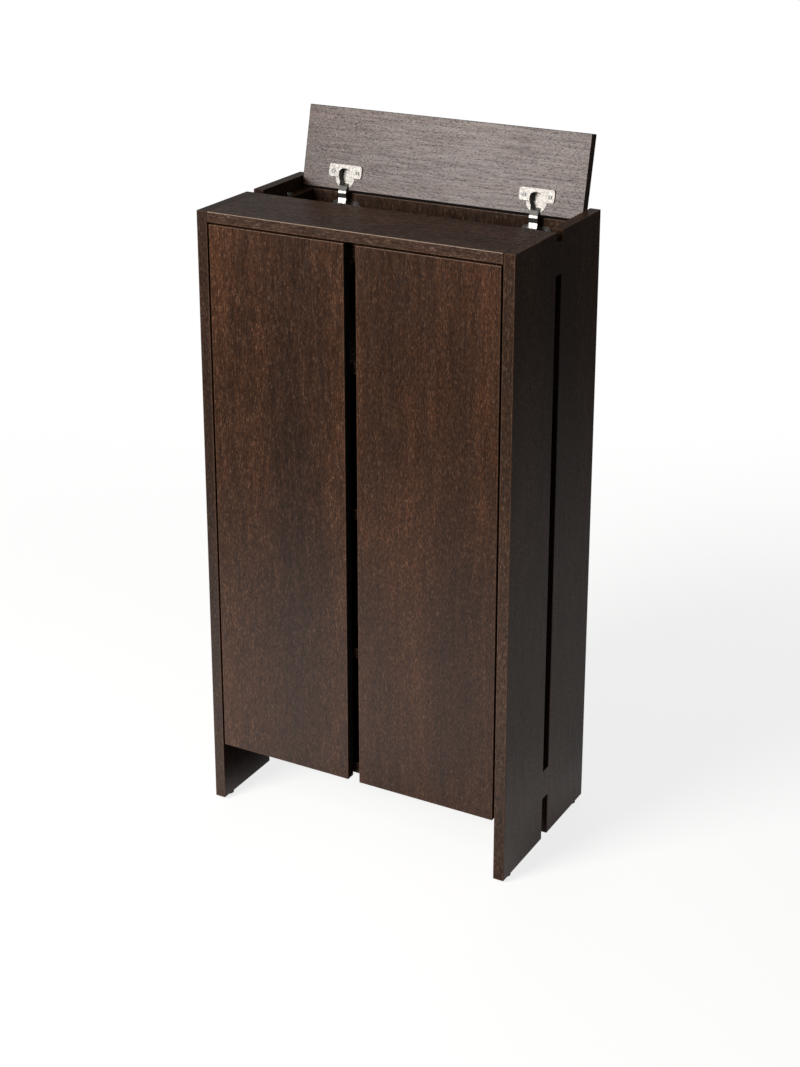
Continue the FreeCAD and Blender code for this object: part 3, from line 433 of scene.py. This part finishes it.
def finish_nodes():
    """Paints every node: boards by their grain, hinge arms and plates in a brighter, lit copy of the nickel,
    others by the record's slot.
    """
    materials = {name: mottled(name, *finish) for name, finish in HARDWARE.items()}
    materials["beech_dowel"] = beech()
    for number, (board, grain) in enumerate(BOARD_GRAINS.items()):
        paint(board, stained_oak(board, grain, number))
    for part in frame["record"]["subparts"]:
        name = part["node"]
        if name in BOARD_GRAINS:
            continue
        slot = "nickel_lit_copy" if name.endswith(LIT_COPY_PIECES) else part["material_slot"]
        paint(name, materials[slot])


# Studio

def distance_fade(tree, centre, reach, near, far):
    """A strength that passes smoothly from near to far between two distances from a point on the floor."""
    coordinates = tree.nodes.new("ShaderNodeTexCoord")
    distance = tree.nodes.new("ShaderNodeVectorMath")
    distance.operation = "DISTANCE"
    distance.inputs[1].default_value = centre
    link(tree, coordinates.outputs["Object"], distance.inputs[0])
    return fade(tree, distance.outputs["Value"], reach, near, far)


def mirrored_strength(tree):
    """The floor's strength in reflections: it falls with distance, has painted pools of light and a painted
    shadow over the footprint.
    """
    strength = distance_fade(tree, ORIGIN, MIRROR_REACH, *MIRRORED_FLOOR)
    for centre, reach, level in POOLS:
        strength = math_step(tree, "ADD", strength, distance_fade(tree, centre, reach, level, 0))
    # Painted shadow under the object
    return math_step(tree, "MULTIPLY", strength, distance_fade(tree, ORIGIN, FOOTPRINT_REACH, 0, 1))


def diffuse(tree, level):
    """A neutral matt surface."""
    node = tree.nodes.new("ShaderNodeBsdfDiffuse")
    node.inputs["Color"].default_value = (level, level, level, 1)
    return node.outputs[0]


def glow(tree, strength, colour=(1, 1, 1)):
    """A surface that shines with a set strength."""
    node = tree.nodes.new("ShaderNodeEmission")
    node.inputs["Color"].default_value = (*colour, 1)
    node.inputs["Strength"].default_value = strength
    return node


def mix_shaders(tree, share, first, second):
    """The first surface where the share is zero and the second where it is one."""
    node = tree.nodes.new("ShaderNodeMixShader")
    link(tree, share, node.inputs["Fac"])
    link(tree, first, node.inputs[1])
    link(tree, second, node.inputs[2])
    return node.outputs[0]


def seen_directly(tree, path):
    """One for camera and transmission rays, and zero for others."""
    return math_step(tree, "MAXIMUM", path.outputs["Is Camera Ray"], path.outputs["Is Transmission Ray"])


def floor_material():
    """White to the camera with the object's shadow, pale with pools in reflections, matt to other light."""
    material = bpy.data.materials.new("studio_floor")
    material.use_nodes = True
    tree = material.node_tree
    tree.nodes.clear()
    near = tree.nodes.new("ShaderNodeAddShader")
    link(tree, diffuse(tree, FLOOR_DIFFUSE), near.inputs[0])
    link(tree, glow(tree, FLOOR_GLOW).outputs[0], near.inputs[1])
    away = distance_fade(tree, ORIGIN, SHADOW_REACH, 0, 1)
    shown = mix_shaders(tree, away, near.outputs[0], glow(tree, 1).outputs[0])
    mirrored = glow(tree, 1, MIRRORED_COLOUR)
    link(tree, mirrored_strength(tree), mirrored.inputs["Strength"])
    path = tree.nodes.new("ShaderNodeLightPath")
    matt = diffuse(tree, FLOOR_BOUNCE)
    unseen = mix_shaders(tree, path.outputs["Is Glossy Ray"], matt, mirrored.outputs[0])
    output = tree.nodes.new("ShaderNodeOutputMaterial")
    link(tree, mix_shaders(tree, seen_directly(tree, path), unseen, shown), output.inputs["Surface"])
    return material


def floor():
    """A wide square on the ground."""
    corners = np.array([[-1, -1, 0], [1, -1, 0], [1, 1, 0], [-1, 1, 0]], float) * FLOOR_HALF
    mesh = bpy.data.meshes.new("floor")
    mesh.from_pydata(corners.tolist(), [], [[0, 1, 2, 3]])
    square = bpy.data.objects.new("floor", mesh)
    bpy.context.scene.collection.objects.link(square)
    mesh.materials.append(floor_material())


def room():
    """A room that is white to the camera, dim in reflections, and gives a low, even light."""
    world = bpy.data.worlds.new("studio")
    world.use_nodes = True
    bpy.context.scene.world = world
    tree = world.node_tree
    path = tree.nodes.new("ShaderNodeLightPath")
    unseen = fade(tree, path.outputs["Is Glossy Ray"], (0, 1), ROOM_LIGHT, ROOM_MIRRORED, "LINEAR")
    strength = math_step(tree, "MAXIMUM", seen_directly(tree, path), unseen)
    background = tree.nodes["Background"]
    background.inputs["Color"].default_value = (1, 1, 1, 1)
    link(tree, strength, background.inputs["Strength"])


def soft_box(name, place, target, width, height, power):
    """A rectangular lamp that faces a target."""
    data = bpy.data.lights.new(name, "AREA")
    data.shape = "RECTANGLE"
    data.size = width
    data.size_y = height
    data.energy = power
    data.color = LAMP_COLOUR
    lamp = bpy.data.objects.new(name, data)
    x, y, z = np.subtract(target, place)
    turn = math.atan2(x, y)
    dip = math.atan2(-z, math.hypot(x, y))
    lamp.location = place
    lamp.rotation_euler = (math.pi / 2 - dip, 0, -turn)
    bpy.context.scene.collection.objects.link(lamp)


def lights():
    """A large key box at the front left, a weaker box above it, and dim low boxes behind and at the right."""
    for lamp in LAMPS:
        soft_box(*lamp)


def camera():
    """The camera at the photograph's viewing angle, with the frame lowered by its shift."""
    data = bpy.data.cameras.new("camera")
    data.lens = CAMERA_LENS
    data.shift_y = CAMERA_SHIFT
    viewer = bpy.data.objects.new("camera", data)
    viewer.location = EYE
    viewer.rotation_euler = (math.radians(90 - CAMERA_DIP), 0, math.radians(CAMERA_TURN))
    bpy.context.scene.collection.objects.link(viewer)
    bpy.context.scene.camera = viewer


finish_nodes()
floor()
room()
lights()
camera()
bpy.context.scene.view_settings.view_transform = "Standard"
